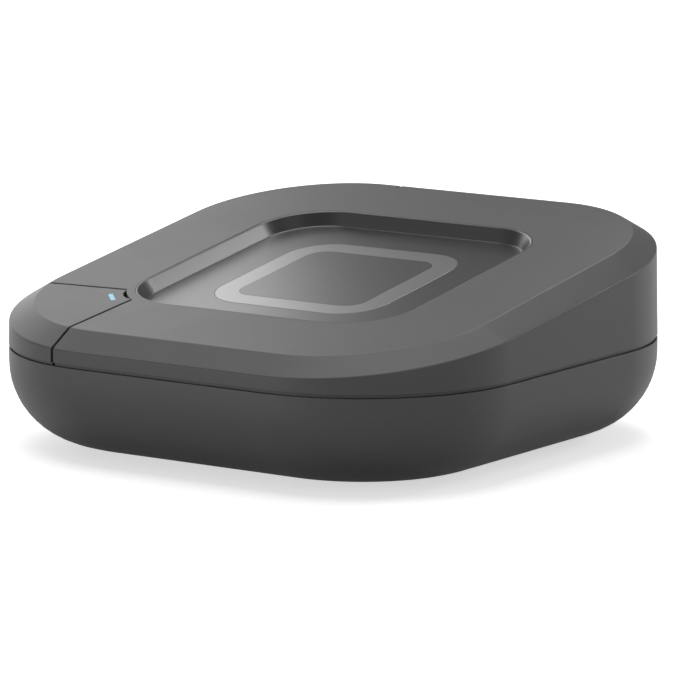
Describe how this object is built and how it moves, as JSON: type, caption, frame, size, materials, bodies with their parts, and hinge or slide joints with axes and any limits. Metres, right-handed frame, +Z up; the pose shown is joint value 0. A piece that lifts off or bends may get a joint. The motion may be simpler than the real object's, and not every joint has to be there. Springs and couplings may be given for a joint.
{
  "type": "streaming media player",
  "caption": "Wedge-topped rounded-square streaming media player with a sunk lit ring dish, a press key at its low corner and a rear socket bay.",
  "frame": {"origin": "middle of the housing in plan, on the surface that the rubber feet stand on", "axes": "+Z up, +Y towards the tall rear with its sockets, -Y the low front, so +X is the side to the right of the front; the key is at the -X -Y corner"},
  "size_m": [0.12, 0.12, 0.0465],
  "materials": {
    "body_plastic": "fine moulded grain",
    "panel_plastic": "fine moulded grain",
    "dish_plastic": "satin",
    "light_ring": "satin translucent",
    "pad_plastic": "satin",
    "blue_light_pipe": "lit",
    "foot_rubber": "matte",
    "screw_steel": "plated",
    "board_laminate": "solder mask",
    "chip_black": "moulded",
    "thermal_gel": "soft",
    "heatsink_aluminium": "extruded",
    "shield_steel": "tinned",
    "copper_foil": "foil",
    "coax_sleeve": "smooth",
    "led_white": "moulded",
    "ribbon_white": "film",
    "socket_black": "moulded",
    "reset_cap": "moulded",
    "gold_contacts": "plated",
    "jack_pin": "plated",
    "capacitor_can": "satin"
  },
  "bodies": {
    "player": {"bottom_shell": "body_plastic", "top_shell": "body_plastic", "rear_panel": "panel_plastic", "dish_tray": "dish_plastic", "ring_light_guide": "light_ring", "centre_pad": "pad_plastic", "foot_front_left": "foot_rubber", "foot_front_right": "foot_rubber", "foot_rear_left": "foot_rubber", "foot_rear_right": "foot_rubber", "case_screws": "screw_steel", "board_screws": "screw_steel", "main_board": "board_laminate", "soc_chip": "chip_black", "thermal_pad": "thermal_gel", "heatsink": "heatsink_aluminium", "heatsink_screws": "screw_steel", "memory_chips": "chip_black", "storage_chip": "chip_black", "memory_shield": "shield_steel", "wifi_board": "board_laminate", "wifi_can": "shield_steel", "antenna_left": "copper_foil", "antenna_right": "copper_foil", "antenna_lead_left": "coax_sleeve", "antenna_lead_right": "coax_sleeve", "ring_board": "board_laminate", "ring_leds": "led_white", "ring_board_screws": "screw_steel", "ribbon_cable": "ribbon_white", "ribbon_sockets": "ribbon_white", "status_led": "led_white", "key_switch_body": "shield_steel", "power_inductors": "chip_black", "bulk_capacitors": "capacitor_can", "crystal": "shield_steel", "hdmi_shell": "shield_steel", "hdmi_tongue": "socket_black", "ethernet_shield": "shield_steel", "ethernet_insert": "socket_black", "ethernet_contacts": "gold_contacts", "usb_shell": "shield_steel", "usb_tongue": "socket_black", "power_jack_body": "socket_black", "power_jack_pin": "jack_pin", "optical_jack_body": "socket_black", "reset_switch_body": "socket_black"},
    "corner_key": {"corner_key": "body_plastic", "key_light_pipe": "blue_light_pipe"},
    "key_plunger": {"key_switch_plunger": "socket_black"},
    "reset_plunger": {"reset_switch_plunger": "reset_cap"},
    "optical_shutter": {"optical_shutter": "socket_black"}
  },
  "joints": [
    {"name": "corner_key_press", "type": "slide", "parent": "player", "child": "corner_key", "axis": [0, 0, -1], "range_m": [0, 0.0005], "stiffness_N_per_m": 1500},
    {"name": "key_plunger_press", "type": "slide", "parent": "player", "child": "key_plunger", "axis": [0, 0, -1], "range_m": [0, 0.0003]},
    {"name": "reset_press", "type": "slide", "parent": "player", "child": "reset_plunger", "axis": [0, -1, 0], "range_m": [0, 0.0005], "stiffness_N_per_m": 600},
    {"name": "optical_shutter_swing", "type": "hinge", "parent": "player", "child": "optical_shutter", "pos_m": [-0.011, 0.0548, 0.0315], "axis": [-1, 0, 0], "range_deg": [0, 85], "stiffness_Nm_per_rad": 0.0004}
  ],
  "couplings": [
    {"joint": "key_plunger_press", "follows": "corner_key_press", "ratio": 0.6}
  ]
}
